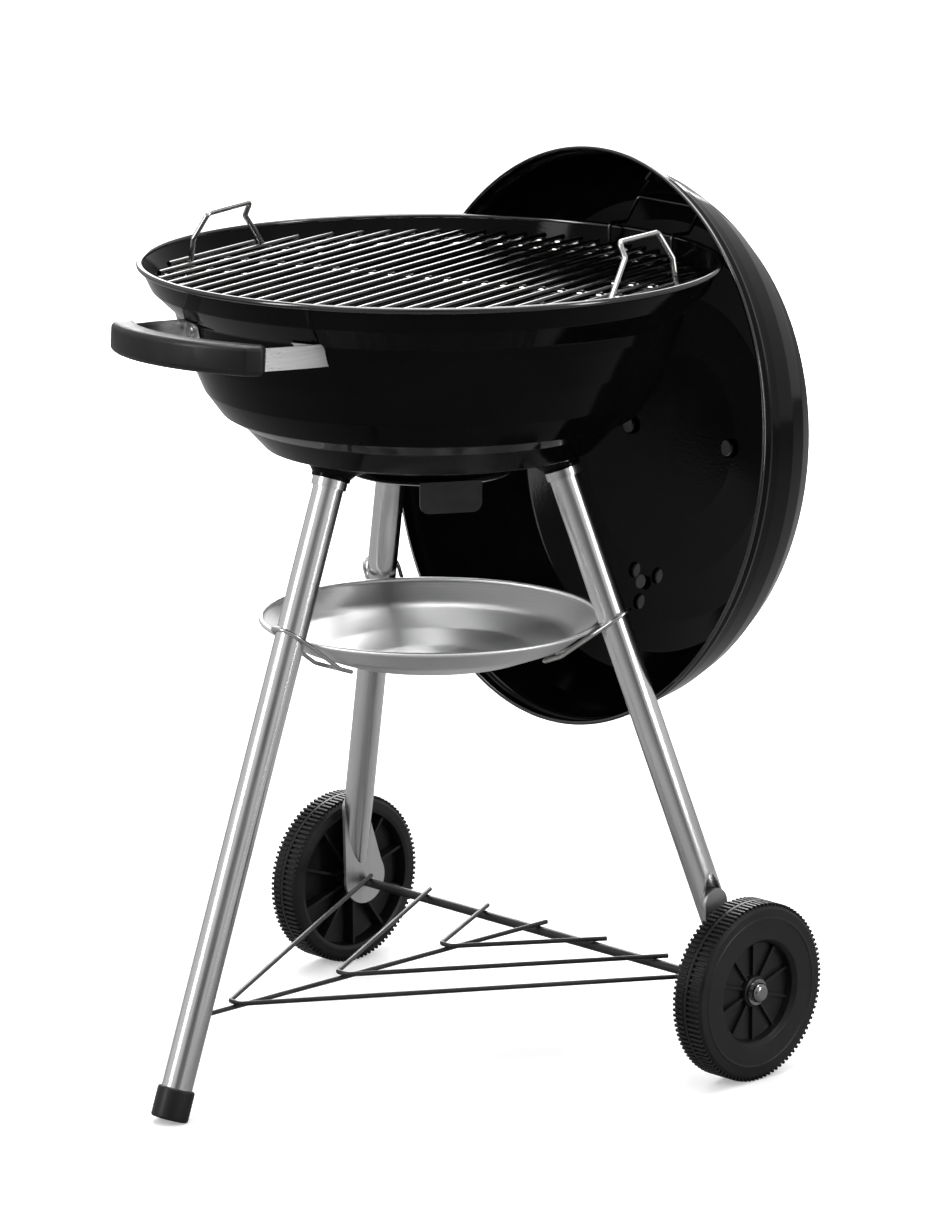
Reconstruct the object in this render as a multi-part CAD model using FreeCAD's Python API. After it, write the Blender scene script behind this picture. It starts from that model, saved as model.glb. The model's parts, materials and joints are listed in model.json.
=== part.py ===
"""Three-legged kettle charcoal grill, in millimetres, +Z up.

The bowl's axis is vertical. -Y is the side with the single leg and the bowl's handle; +Y is the side with the
axle and the two wheels, where the lid hangs by its hook on the bowl's rim. Everything is modelled about the
bowl's axis and then moved so that the origin is the middle of the whole grill's footprint, on the ground.
"""
import FreeCAD, Part
import math
import os

V = FreeCAD.Vector
UP = V(0, 0, 1)

RUNNING = 0.05              # radial clearance of a shaft in a hole
SHEET = 1.5                 # enamelled steel sheet of the bowl and the lid

# ---- bowl: outlines are of the outside, as (radius, height) from the axis outwards ----
RIM_RADIUS = 240.0          # outer edge of the rolled lip
RIM_TOP = 671.8             # height of the lip above the ground
LIP_BEAD = 2.5              # radius of the rolled edge
BOWL_BEND = 5.0             # bend radius at the outline's corners
FLOOR_HEIGHT = 497.0        # underside of the sunk middle
BOWL_OUTLINE = [
    (0.0, FLOOR_HEIGHT), (60.0, FLOOR_HEIGHT), (66.0, 505.5), (105.0, 511.5), (137.0, 519.0),
    (155.0, 538.5), (172.0, 548.0), (186.0, 567.0), (197.5, 594.0), (207.0, 622.0), (209.5, 632.5),
    (228.5, 650.5), (237.5, 669.5),
]
VENT_COUNT = 4
VENT_RADIUS = 13.0
VENT_CIRCLE = 36.0
VENT_FIRST = 15.0           # azimuth of the first vent

# ---- bowl damper ----
PIVOT_RADIUS = 3.0
DAMPER_RADIUS = 67.0
DAMPER_SHEET = 1.2
DAMPER_LOW = FLOOR_HEIGHT - 0.4 - DAMPER_SHEET
TAB_AZIMUTH = -30.0
TAB_WIDTH = 52.0
TAB_DROP = 22.0
TAB_SHEET = 2.2

# ---- bowl handle ----
HANDLE_X = 79.0             # inner face of each strap, from the middle
HANDLE_Z = 626.0            # middle of the straps at the bowl's wall
HANDLE_RISE = 3.8           # degrees by which the handle rises away from the wall
STRAP_HEIGHT = 18.2
BOWL_GRIP_HEIGHT = 24.4
STRAP_THICKNESS = 2.0
WALL_RIVET = 3.0
WALL_RIVET_X = 70.0
WALL_AT_HANDLE = 211.0      # distance of a wall rivet from the bowl's axis

# ---- stand ----
TUBE_RADIUS = 12.7
TUBE_WALL = 1.4
LEG_REF_HEIGHT = 480.0      # height at which a leg's axis is LEG_REF_RADIUS from the bowl's axis
LEG_REF_RADIUS = 121.0
LEG_SPLAY = 0.362           # outward run of a leg for each unit of height
FRONT_AZIMUTH = -90.0
REAR_AZIMUTH = 28.5         # of the right rear leg, from +X
LEG_AZIMUTHS = {"front": FRONT_AZIMUTH, "right": REAR_AZIMUTH, "left": 180.0 - REAR_AZIMUTH}
LEG_TOP = 505.6             # height of the leg axis at the socket's mouth
SOCKET_MOUTH = 16.2
SOCKET_RADIUS = 31.0
COLLAR_RADIUS = 14.6
COLLAR_LENGTH = 7.0
FOOT_RADIUS = 15.4
FOOT_HEIGHT = 26.0
FOOT_FLOOR = 6.9            # height at which the leg's tube ends inside the foot cap

# ---- axle and wheels ----
WHEEL_RADIUS = 75.4
WHEEL_WIDTH = 31.7
WHEEL_INNER_X = 228.1       # inner side face of a wheel
HUB_WEB_RADIUS = 42.0
HUB_RADIUS = 11.0
HUB_REACH = 7.6             # how far the hub stands out of the wheel's inner side
WHEEL_RIBS = 10
RIB_HALF = 1.2
AXLE_Y = 127.5
AXLE_RADIUS = 4.0
PLATE_X = 216.3             # inner face of an axle plate
PLATE_THICKNESS = 3.0
CAP_NUT_START = 254.5

# ---- bottom rack ----
WIRE = 2.0                  # radius of the rack's wires
WELD = 0.2                  # depth to which crossing wires sink into each other
RACK_HEIGHT = WHEEL_RADIUS + AXLE_RADIUS + WIRE - WELD
RACK_PITCH = 72.0           # spacing of the wire ends along the axle
RACK_START_Y = -262.0
RACK_END_Y = 137.0
V_DEPTH = 119.5             # how far a V's apex moves for each step of RACK_PITCH

# ---- ash pan and its clips ----
PAN_RADIUS = 143.0
PAN_RIM_TOP = 373.9
PAN_SHEET = 1.2
PAN_BEAD = 2.2
PAN_BEND = 40.0
PAN_BOTTOM = 334.0
PAN_OUTLINE = [
    (0.0, PAN_BOTTOM), (50.0, PAN_BOTTOM), (85.0, 341.5), (118.0, 354.0), (138.8, 369.5), (141.0, 371.5),
]
CLIP_WIRE = 1.75
CLIP_START = (117.0, 349.0)  # (radius, height) at which a clip's wires begin their slope up to the leg
CLIP_SLOPE = 0.738          # rise of those wires for each unit outwards

# ---- cooking grate ----
GRATE_RADIUS = 219.75       # centre line of the outer ring
GRATE_INNER_RADIUS = 204.0  # centre line of the ring under the cross wire and the handles
GRATE_RING_WIRE = 2.75
GRATE_RING_Z = 654.0
GRATE_ROD = 2.25
GRATE_ROD_COUNT = 25
GRATE_ROD_PITCH = 17.7
GRATE_TURN = 15.7           # turn of the rods from +Y towards -X
GRATE_SHIFT = 1.0           # how far the loose grate lies off the middle, along its rods
GRATE_HANDLE_TOP = 701.0
SEAT_GAP = 0.3              # between a loose grate and what it rests on

# ---- charcoal grate ----
COAL_RADIUS = 163.0
COAL_WIRE = 3.0
COAL_RING_Z = 549.4
COAL_ROD_COUNT = 12
COAL_ROD_PITCH = 26.0
COAL_CROSS_Y = 60.0

# ---- lid, in its own frame: Z = 0 is the rim's plane and the dome rises towards +Z ----
LID_RADIUS = 243.0
LID_BEAD = 1.7
LID_DEPTH = 123.0
LID_BEND = 14.0
LID_OUTLINE = [
    (0.0, -LID_DEPTH), (70.0, -120.5), (120.0, -116.0), (158.0, -109.0), (184.0, -99.0), (204.0, -84.0),
    (218.0, -65.0), (228.0, -45.0), (235.0, -24.0), (238.0, -13.0), (241.3, -10.0), (242.0, -1.5),
]
LID_SCREW = 3.0
LID_SCREW_X = 65.5          # lid handle screws, either side of the lid's axis
SHIELD_LOW = 123.5
SHIELD_SHEET = 1.2
GRIP_LOW = 170.0
GRIP_HIGH = 193.0

# ---- lid vent ----
LID_VENT = (20.0, -130.0)   # middle of the vent, in the lid's own frame
LID_PIVOT = 2.5
DISC_RADIUS = 31.0
DISC_GAP = 1.2
DISC_SHEET = 1.0
DISC_HOLES = 3
DISC_HOLE_RADIUS = 7.0
DISC_HOLE_CIRCLE = 17.0
DOME_HOLES_FIRST = 30.0     # azimuth of the first hole in the dome; the shut disc's lie half a step on

# ---- lid, hanging on the rim ----
LID_AZIMUTH = 6.36          # turn of the lid's place about the bowl's axis, from +Y towards +X
LID_DISTANCE = 150.0        # from the bowl's axis to the middle of the lid's rim
LID_HEIGHT = 506.0
LID_TILT = 7.1              # the lid's top leans away from the bowl
HOOK_WIRE = 1.75
HOOK_SPREAD = 41.0          # of each prong, from the hook's middle

PARTS = {}


# ---------------------------------------------------------------- helpers
def polar(radius, azimuth, height):
    angle = math.radians(azimuth)
    return V(radius * math.cos(angle), radius * math.sin(angle), height)


def rounded_path(points, radii):
    """Wire through points, with an arc of the given radius at each inner point."""
    edges = []
    start = points[0]
    for i in range(1, len(points) - 1):
        back = (points[i - 1] - points[i]).normalize()
        ahead = (points[i + 1] - points[i]).normalize()
        half = back.getAngle(ahead) / 2
        if radii[i] <= 0 or half > math.pi / 2 - 1e-3:
            edges.append(Part.LineSegment(start, points[i]))
            start = points[i]
            continue
        reach = radii[i] / math.tan(half)
        first = points[i] + back * reach
        last = points[i] + ahead * reach
        middle = points[i] + (back + ahead).normalize() * (radii[i] / math.sin(half) - radii[i])
        if (first - start).Length > 1e-4:
            edges.append(Part.LineSegment(start, first))
        edges.append(Part.Arc(first, middle, last))
        start = last
    edges.append(Part.LineSegment(start, points[-1]))
    return Part.Wire([edge.toShape() for edge in edges])


def bent_wire(points, radius, bend):
    """Round wire along points, with every inner corner bent to the radius bend."""
    path = rounded_path(points, [bend] * len(points))
    start = path.Edges[0]
    tangent = start.tangentAt(start.FirstParameter)
    profile = Part.Wire([Part.makeCircle(radius, points[0], tangent)])
    return path.makePipeShell([profile], True, True)


def rod(start, end, radius):
    return Part.makeCylinder(radius, (end - start).Length, start, end - start)


def tube(start, end, radius, wall):
    return rod(start, end, radius).cut(rod(start, end, radius - wall))


def box(low, high):
    size = V(*high) - V(*low)
    return Part.makeBox(size.x, size.y, size.z, V(*low))


def move_sideways(points, gap):
    """Shifts an open (radius, height) outline to its left by gap, keeping its runs parallel."""
    runs = []
    for (r0, z0), (r1, z1) in zip(points, points[1:]):
        length = math.hypot(r1 - r0, z1 - z0)
        runs.append((-(z1 - z0) / length, (r1 - r0) / length))
    moved = []
    for i, (r, z) in enumerate(points):
        a = runs[max(i - 1, 0)]
        b = runs[min(i, len(runs) - 1)]
        scale = gap / (1 + a[0] * b[0] + a[1] * b[1])
        moved.append((r + (a[0] + b[0]) * scale, z + (a[1] + b[1]) * scale))
    return moved


def corner_radii(points, radius, gap):
    """Bend radius at each point of an outline, less or more by gap as the outline turns left or right."""
    radii = [0.0]
    for (r0, z0), (r1, z1), (r2, z2) in zip(points, points[1:], points[2:]):
        left = (r1 - r0) * (z2 - z1) - (z1 - z0) * (r2 - r1) > 0
        radii.append(max(radius - gap if left else radius + gap, 0.3))
    return radii + [0.0]


def revolved_sheet(outline, sheet, radius):
    """Sheet of revolution about Z: outline is its outside, from the axis outwards, bent to radius."""
    inside = move_sideways(outline, sheet)
    inside[0] = (0.0, inside[0][1])
    outer = rounded_path([V(r, 0, z) for r, z in outline], corner_radii(outline, radius, 0))
    inner = rounded_path([V(r, 0, z) for r, z in inside], corner_radii(outline, radius, sheet))
    ends = [
        Part.makeLine(V(outline[0][0], 0, outline[0][1]), V(inside[0][0], 0, inside[0][1])),
        Part.makeLine(V(outline[-1][0], 0, outline[-1][1]), V(inside[-1][0], 0, inside[-1][1])),
    ]
    wire = Part.Wire(Part.__sortEdges__(outer.Edges + inner.Edges + ends))
    return Part.Face(wire).revolve(V(), UP, 360)


def revolved(outline):
    """Solid of revolution about Z of a closed (radius, height) outline with sharp corners."""
    points = [V(r, 0, z) for r, z in outline]
    return Part.Face(Part.makePolygon(points + points[:1])).revolve(V(), UP, 360)


def filled(outline, top):
    """Solid of revolution under an open outline that starts on the axis, closed at height top."""
    return revolved(list(outline) + [(outline[-1][0], top), (0.0, top)])


def holes(count, circle, radius, low, high, first=0.0):
    """Upright cutters on a circle about Z."""
    cutters = []
    for i in range(count):
        foot = polar(circle, first + 360.0 * i / count, low)
        cutters.append(rod(foot, foot + UP * (high - low), radius))
    return cutters


def cap_screw(head_radius, head_height, shank_radius, shank_length):
    """Round-headed screw along Z: the head is above z = 0, the shank below."""
    head = Part.makeCylinder(head_radius, head_height)
    head = head.makeFillet(head_height * 0.6, [head.Edges[0]])
    return head.fuse(Part.makeCylinder(shank_radius, shank_length, V(), -UP)).removeSplitter()


def turned(shape, azimuth):
    copy = shape.copy()
    copy.rotate(V(), UP, azimuth)
    return copy


def aimed(shape, place, direction):
    """Copy of shape with its Z axis turned to direction and its origin at place."""
    copy = shape.copy()
    copy.Placement = FreeCAD.Placement(place, FreeCAD.Rotation(UP, direction))
    return copy


def together(shapes):
    return Part.makeCompound(shapes)


def fused(shapes):
    return shapes[0].multiFuse(shapes[1:]).removeSplitter()


# ---------------------------------------------------------------- frames
def leg_point(azimuth, height):
    """Point of a leg's axis at a height."""
    return polar(LEG_REF_RADIUS + LEG_SPLAY * (LEG_REF_HEIGHT - height), azimuth, height)


def leg_up(azimuth):
    """Unit vector along a leg, upwards."""
    return (leg_point(azimuth, LEG_REF_HEIGHT) - leg_point(azimuth, 0)).normalize()


def lid_frame():
    """Placement of the lid: its own X runs level, Y up along the rim's plane, Z out through the dome."""
    turn = math.radians(LID_AZIMUTH)
    lean = math.radians(LID_TILT)
    z = V(math.sin(turn) * math.cos(lean), math.cos(turn) * math.cos(lean), -math.sin(lean))
    x = V(-math.cos(turn), math.sin(turn), 0)
    y = z.cross(x)
    place = V(math.sin(turn) * LID_DISTANCE, math.cos(turn) * LID_DISTANCE, LID_HEIGHT)
    rows = [(x.x, y.x, z.x, place.x), (x.y, y.y, z.y, place.y), (x.z, y.z, z.z, place.z), (0, 0, 0, 1)]
    return FreeCAD.Placement(FreeCAD.Matrix(*[value for row in rows for value in row]))


LID_FRAME = lid_frame()


def on_lid(shape):
    """Copy of a shape drawn in the lid's own frame, put where the lid hangs."""
    copy = shape.copy()
    copy.Placement = LID_FRAME.multiply(copy.Placement)
    return copy


# ---------------------------------------------------------------- bowl
def bowl():
    shell = revolved_sheet(BOWL_OUTLINE, SHEET, BOWL_BEND)
    bead = Part.makeTorus(RIM_RADIUS - LIP_BEAD, LIP_BEAD, V(0, 0, RIM_TOP - LIP_BEAD))
    shell = shell.fuse(bead)
    vents = holes(VENT_COUNT, VENT_CIRCLE, VENT_RADIUS, FLOOR_HEIGHT - 5, FLOOR_HEIGHT + 5, VENT_FIRST)
    pivot = Part.makeCylinder(PIVOT_RADIUS + RUNNING, 10, V(0, 0, FLOOR_HEIGHT - 5))
    rivets = [wall_rivet(side, RUNNING) for side in (-1, 1)]
    shell = shell.cut(together(vents + [pivot] + rivets))
    PARTS["bowl"] = shell.removeSplitter()


def bowl_damper():
    """Disc under the floor vents, turned about a rivet by a hanging tab."""
    low = DAMPER_LOW
    disc = Part.makeCylinder(DAMPER_RADIUS, DAMPER_SHEET, V(0, 0, low))
    cutters = holes(VENT_COUNT, VENT_CIRCLE, VENT_RADIUS, low - 1, low + 5, VENT_FIRST)
    cutters.append(Part.makeCylinder(PIVOT_RADIUS + RUNNING, 5, V(0, 0, low - 1)))
    PARTS["bowl_damper"] = disc.cut(together(cutters))

    washer = Part.makeCylinder(8.0, 1.2, V(0, 0, FLOOR_HEIGHT + SHEET))
    head = Part.makeCylinder(8.0, 2.5, V(0, 0, low - 2.6))
    shank = Part.makeCylinder(PIVOT_RADIUS, FLOOR_HEIGHT + SHEET - low + 1, V(0, 0, low - 1))
    PARTS["bowl_damper_rivet"] = fused([head, shank, washer])

    # The tab hooks over the disc's edge: a short lip under the disc and the hanging finger plate.
    half = TAB_WIDTH / 2
    inside = DAMPER_RADIUS + 1.0
    outside = inside + TAB_SHEET
    lip = box((inside - 17, -half + 6, low - TAB_SHEET), (outside, half - 6, low - 0.05))
    plate = box((inside, -half, low - TAB_DROP), (outside, half, low + DAMPER_SHEET + 3))
    lower = [edge for edge in plate.Edges
             if abs(edge.Length - TAB_SHEET) < 0.01 and edge.CenterOfMass.z < low]
    PARTS["damper_tab"] = turned(fused([plate.makeFillet(8.0, lower), lip]), TAB_AZIMUTH)


def grate_support_tabs():
    """Four small brackets welded to the bowl's wall, on which the cooking grate's ring rests."""
    top = GRATE_RING_Z - GRATE_RING_WIRE - SEAT_GAP
    tab = box((GRATE_RADIUS - 8, -10, top - 14), (235.0, 10, top))
    tab = tab.cut(box((GRATE_RADIUS - 9, -11, top - 15), (GRATE_RADIUS + 20, 11, top - 2)))
    outside = revolved([(0, 500)] + move_sideways(BOWL_OUTLINE, SHEET)[3:] + [(0, 670)])
    tab = tab.common(outside)
    PARTS["grate_support_tabs"] = together([turned(tab, 45 + 90 * i) for i in range(4)])


def wall_rivet(side, extra):
    """Rivet through the bowl's wall and a strap's foot: extra widens the shank."""
    azimuth = math.degrees(-math.acos(side * WALL_RIVET_X / WALL_AT_HANDLE))
    outward = polar(1, azimuth, 0)
    inner = WALL_AT_HANDLE - 7.5
    shank = rod(polar(inner, azimuth, HANDLE_Z), polar(inner + 10.5, azimuth, HANDLE_Z), WALL_RIVET + extra)
    if extra > 0:
        return shank
    head = Part.makeCylinder(5.5, 2.0, polar(WALL_AT_HANDLE + 0.6, azimuth, HANDLE_Z), outward)
    tail = Part.makeCylinder(5.5, 1.6, polar(inner, azimuth, HANDLE_Z), outward)
    return fused([shank.cut(head), head, tail])


def bowl_handle():
    """Grip bowed away from the bowl, on two flat metal straps riveted to the wall."""
    low = HANDLE_Z - STRAP_HEIGHT / 2
    hinge = V(0, -190, HANDLE_Z)
    thick = STRAP_THICKNESS
    skin = revolved([(0, 590)] + [(r + thick + 0.1, z) for r, z in BOWL_OUTLINE[8:12]] + [(0, 660)])
    body = revolved([(0, 500)] + [(r + 0.1, z) for r, z in BOWL_OUTLINE[4:]] + [(0, 670)])
    straps = []
    for side in (-1, 1):
        plan = [(HANDLE_X, -180), (HANDLE_X, -235), (HANDLE_X - 3, -276), (HANDLE_X - 3 + thick, -276),
                (HANDLE_X + thick, -235), (HANDLE_X + thick, -180)]
        outline = [V(side * x, y, low) for x, y in plan]
        leg = Part.Face(Part.makePolygon(outline + outline[:1])).extrude(UP * STRAP_HEIGHT)
        leg.rotate(hinge, V(1, 0, 0), -HANDLE_RISE)
        ends = sorted([side * (HANDLE_X - 22), side * (HANDLE_X + 0.5)])
        foot = box((ends[0], -215.0, low), (ends[1], -180.0, low + STRAP_HEIGHT)).common(skin)
        strap = fused([leg, foot]).cut(together([body, wall_rivet(side, RUNNING)]))
        straps.append(strap.cut(PARTS["bowl"]))
    PARTS["bowl_handle_strap_left"] = straps[0]
    PARTS["bowl_handle_strap_right"] = straps[1]
    PARTS["bowl_handle_rivets"] = together([wall_rivet(side, 0) for side in (-1, 1)])

    front = [V(-86, -262, 0), V(-80, -276, 0), V(0, -301.5, 0), V(80, -276, 0), V(86, -262, 0)]
    back = [V(78, -252, 0), V(0, -279, 0), V(-78, -252, 0)]
    face = Part.Face(Part.Wire([
        Part.Arc(front[1], front[2], front[3]).toShape(),
        Part.makeLine(front[3], front[4]),
        Part.makeLine(front[4], back[0]),
        Part.Arc(back[0], back[1], back[2]).toShape(),
        Part.makeLine(back[2], front[0]),
        Part.makeLine(front[0], front[1]),
    ]))
    face.translate(UP * (HANDLE_Z - BOWL_GRIP_HEIGHT / 2))
    grip = face.extrude(UP * BOWL_GRIP_HEIGHT)
    grip = grip.makeFillet(5.0, grip.Edges)
    grip.rotate(hinge, V(1, 0, 0), -HANDLE_RISE)
    grip = grip.cut(together(straps))
    PARTS["bowl_handle_grip"] = max(grip.Solids, key=lambda solid: solid.Volume)


# ---------------------------------------------------------------- legs
def leg_sockets():
    """Flared sockets under the bowl and a collar at each leg's top."""
    body = filled([(r, z - 0.1) for r, z in BOWL_OUTLINE], RIM_TOP)
    socket = revolved([(0, -2), (SOCKET_MOUTH, -2), (SOCKET_MOUTH, 1), (20, 6), (29, 11), (SOCKET_RADIUS, 16),
                       (SOCKET_RADIUS, 34), (0, 34)])
    socket = socket.cut(Part.makeCylinder(TUBE_RADIUS + RUNNING, 6, V(0, 0, -3)))
    collar = Part.makeCylinder(COLLAR_RADIUS, COLLAR_LENGTH, V(0, 0, -2.1 - COLLAR_LENGTH))
    collar = collar.cut(Part.makeCylinder(TUBE_RADIUS + RUNNING, 20, V(0, 0, -15)))
    collars = []
    for name, azimuth in LEG_AZIMUTHS.items():
        top = leg_point(azimuth, LEG_TOP)
        placed = aimed(socket, top, leg_up(azimuth)).cut(body)
        PARTS["leg_socket_" + name] = max(placed.Solids, key=lambda solid: solid.Volume)
        collars.append(aimed(collar, top, leg_up(azimuth)))
    PARTS["leg_collars"] = together(collars)


def legs():
    """Three splayed tubes: the front one ends in a foot cap, the rear ones are cut off flush with a plate."""
    for name, azimuth in LEG_AZIMUTHS.items():
        bottom = leg_point(azimuth, FOOT_FLOOR + 0.1 if name == "front" else 40.0)
        top = leg_point(azimuth, LEG_TOP) + leg_up(azimuth) * 2.5
        leg = tube(bottom, top, TUBE_RADIUS, TUBE_WALL)
        if name == "front":
            hole = Part.makeCylinder(WIRE + RUNNING, 60, V(0, RACK_START_Y, RACK_HEIGHT), V(0, 1, 0))
            leg = leg.cut(hole)
        else:
            beyond = box((PLATE_X, 0, 0), (400, 300, 300))
            leg = leg.cut(beyond if name == "right" else beyond.mirror(V(), V(1, 0, 0)))
        PARTS["leg_" + name] = max(leg.Solids, key=lambda solid: solid.Volume)


def foot_cap():
    """Moulded cap square to the leg, with a flat where it stands on the ground."""
    foot = leg_point(FRONT_AZIMUTH, 0)
    up = leg_up(FRONT_AZIMUTH)
    cap = Part.makeCylinder(FOOT_RADIUS, FOOT_HEIGHT, V(0, 0, 2))
    cap = cap.makeFillet(2.0, cap.Edges)
    cap = aimed(cap, foot, up)
    cap = cap.cut(rod(leg_point(FRONT_AZIMUTH, FOOT_FLOOR), foot + up * 60, TUBE_RADIUS + RUNNING))
    PARTS["foot_cap"] = cap.cut(box((-50, -350, -20), (50, -250, 0)))


# ---------------------------------------------------------------- axle, plates and wheels
def axle_plates():
    """Flat plates that close the rear legs' cut ends and carry the axle."""
    low = V(PLATE_X, AXLE_Y, 79.0)
    high = V(PLATE_X, AXLE_Y - 12.0, 146.0)
    along = V(1, 0, 0)
    discs = [
        Part.makeCylinder(23.0, PLATE_THICKNESS, low, along),
        Part.makeCylinder(13.0, PLATE_THICKNESS, high, along),
    ]
    corners = [low + V(0, -22.9, 4), high + V(0, -12.9, 3), high + V(0, 12.9, 1), low + V(0, 22.9, 2)]
    web = Part.Face(Part.makePolygon(corners + corners[:1])).extrude(along * PLATE_THICKNESS)
    bore = Part.makeCylinder(AXLE_RADIUS + RUNNING, 20, V(PLATE_X - 10, AXLE_Y, WHEEL_RADIUS), along)
    plate = fused(discs + [web]).cut(bore)
    PARTS["axle_plate_right"] = plate
    PARTS["axle_plate_left"] = plate.mirror(V(), V(1, 0, 0))


def axle():
    """Fixed rod through both plates and wheels, with a domed nut at each end."""
    along = V(1, 0, 0)
    end = CAP_NUT_START + 3
    PARTS["axle"] = Part.makeCylinder(AXLE_RADIUS, 2 * end, V(-end, AXLE_Y, WHEEL_RADIUS), along)
    washer = Part.makeCylinder(11.0, 1.2, V(CAP_NUT_START, AXLE_Y, WHEEL_RADIUS), along)
    dome = Part.makeCylinder(8.5, 6.2, V(CAP_NUT_START + 1.2, AXLE_Y, WHEEL_RADIUS), along)
    dome = dome.makeFillet(4.5, [max(dome.Edges, key=lambda edge: edge.CenterOfMass.x)])
    bore = Part.makeCylinder(AXLE_RADIUS, 3.1, V(CAP_NUT_START - 0.1, AXLE_Y, WHEEL_RADIUS), along)
    nut = fused([washer, dome]).cut(bore)
    PARTS["axle_cap_nuts"] = together([nut, nut.mirror(V(), V(1, 0, 0))])


def wheels():
    """Moulded wheels about their own axis on Z, the inner face at z = 0: a tread, two recesses and ribs."""
    wide = WHEEL_WIDTH
    edge = WHEEL_RADIUS
    outline = [
        (AXLE_RADIUS + RUNNING, -HUB_REACH), (HUB_RADIUS, -HUB_REACH), (HUB_RADIUS, 14), (60, 14), (60, 2),
        (65, 0), (edge - 3, 0), (edge, 4), (edge, wide - 4), (edge - 3, wide), (HUB_WEB_RADIUS + 3, wide),
        (HUB_WEB_RADIUS, wide - 3), (HUB_WEB_RADIUS, 20), (13, 20), (13, wide - 5.5),
        (AXLE_RADIUS + RUNNING, wide - 5.5),
    ]
    ribs = []
    for i in range(WHEEL_RIBS):
        outer = box((12.5, -RIB_HALF, 19.5), (HUB_WEB_RADIUS + 1, RIB_HALF, wide - 6))
        inner = box((HUB_RADIUS - 0.5, -RIB_HALF, 3), (60.5, RIB_HALF, 14.5))
        ribs.extend(turned(rib, 360.0 * i / WHEEL_RIBS) for rib in (outer, inner))
    wheel = fused([revolved(outline)] + ribs)
    right = aimed(wheel, V(WHEEL_INNER_X, AXLE_Y, WHEEL_RADIUS), V(1, 0, 0))
    PARTS["wheel_right"] = right
    PARTS["wheel_left"] = aimed(wheel, V(-WHEEL_INNER_X, AXLE_Y, WHEEL_RADIUS), V(-1, 0, 0))


# ---------------------------------------------------------------- bottom rack
def rack():
    """Wires that tie the front leg to the axle: a spine and three V shapes that cross over it."""
    low = RACK_HEIGHT
    PARTS["rack_spine"] = rod(V(0, RACK_START_Y, low), V(0, RACK_END_Y, low), WIRE)
    over = low + 2 * WIRE - WELD
    for step, name in ((3, "rack_v_outer"), (2, "rack_v_middle"), (1, "rack_v_inner")):
        apex = RACK_END_Y - V_DEPTH * step
        reach = min(RACK_PITCH * step, PLATE_X - WIRE - 2.5)
        end_y = RACK_END_Y - V_DEPTH * (step - reach / RACK_PITCH)
        points = [V(-reach, end_y, low), V(-6, apex, over), V(6, apex, over), V(reach, end_y, low)]
        PARTS[name] = bent_wire(points, WIRE, 5.0)


# ---------------------------------------------------------------- ash pan
def ash_pan():
    """Shallow dish with a rolled rim, loose on its three clips."""
    dish = revolved_sheet(PAN_OUTLINE, PAN_SHEET, PAN_BEND)
    bead = Part.makeTorus(PAN_RADIUS - PAN_BEAD, PAN_BEAD, V(0, 0, PAN_RIM_TOP - PAN_BEAD))
    PARTS["ash_pan"] = fused([dish, bead])


def pan_clips():
    """Wire loops: each goes round a leg and slopes down under the ash pan, which rests on them."""
    side = TUBE_RADIUS + CLIP_WIRE + 0.6
    start, low = CLIP_START
    reach = LEG_REF_RADIUS + LEG_SPLAY * (LEG_REF_HEIGHT - low + CLIP_SLOPE * start)
    leg_radius = reach / (1 + LEG_SPLAY * CLIP_SLOPE)
    outer = leg_radius + (side + 1.2) / math.hypot(1, CLIP_SLOPE)
    half = [(start - 15, 1.0, low - 5.5), (start - 15, side, low - 5.5), (start, side, low),
            (outer, side, low + CLIP_SLOPE * (outer - start))]
    points = [V(r, -t, z) for r, t, z in half] + [V(r, t, z) for r, t, z in reversed(half)]
    radii = [0, 4, 12, side - 0.1, side - 0.1, 12, 4, 0]
    path = rounded_path(points, radii)
    profile = Part.Wire([Part.makeCircle(CLIP_WIRE, points[0], V(0, -1, 0))])
    clip = path.makePipeShell([profile], True, True)
    PARTS["ash_pan_clips"] = together([turned(clip, azimuth) for azimuth in LEG_AZIMUTHS.values()])


# ---------------------------------------------------------------- grates
def grate_frame(shape):
    """Copy of a shape drawn with the rods along Y, turned and shifted to where the cooking grate lies."""
    copy = shape.copy()
    copy.translate(V(0, GRATE_SHIFT, 0))
    return turned(copy, GRATE_TURN)


def rods_in_circle(count, pitch, circle, wire, height):
    """Parallel rods along Y that fill a circle."""
    rods = []
    for i in range(count):
        x = (i - (count - 1) / 2) * pitch
        reach = math.sqrt(circle ** 2 - x ** 2)
        rods.append(rod(V(x, -reach, height), V(x, reach, height), wire))
    return rods


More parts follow.
